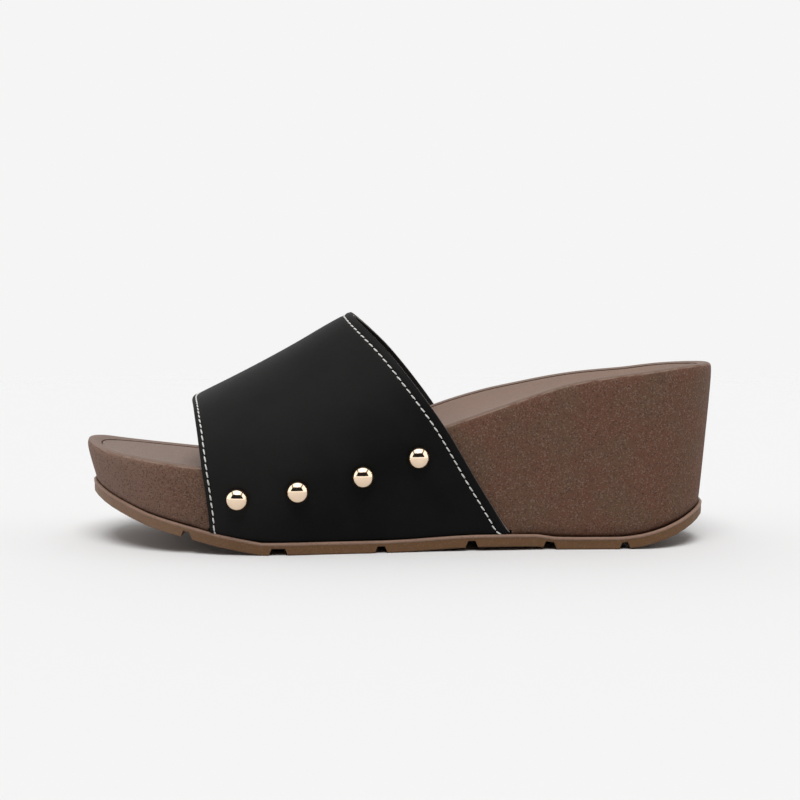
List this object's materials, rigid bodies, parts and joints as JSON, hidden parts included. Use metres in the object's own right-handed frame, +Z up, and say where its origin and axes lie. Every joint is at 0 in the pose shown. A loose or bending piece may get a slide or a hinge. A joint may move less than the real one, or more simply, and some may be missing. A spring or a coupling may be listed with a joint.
{
  "type": "wedge mule",
  "caption": "Backless platform wedge slide with a wide studded strap over the instep, a dished footbed and a grooved outsole.",
  "frame": {"origin": "centre of the shoe's bounding box in plan, on the floor that it stands on", "axes": "+X from toe to heel, -Y to the outer side of the foot, +Z up"},
  "size_m": [0.262, 0.0999, 0.0949],
  "materials": {
    "outsole": "tan moulded rubber, satin",
    "wedge": "brown speckled foam, matt with a fine pitted skin",
    "footbed": "taupe brown synthetic nap, soft and matt",
    "strap": "black smooth synthetic leather with a fine grain, low satin gloss, pale stitch rows",
    "stud": "polished light gold plating"
  },
  "bodies": {
    "root": {"outsole": "outsole", "wedge_midsole": "wedge", "insole": "footbed", "strap_upper": "strap", "stud_lateral_1": "stud", "stud_lateral_2": "stud", "stud_lateral_3": "stud", "stud_lateral_4": "stud", "stud_medial_1": "stud", "stud_medial_2": "stud", "stud_medial_3": "stud", "stud_medial_4": "stud"}
  },
  "joints": []
}
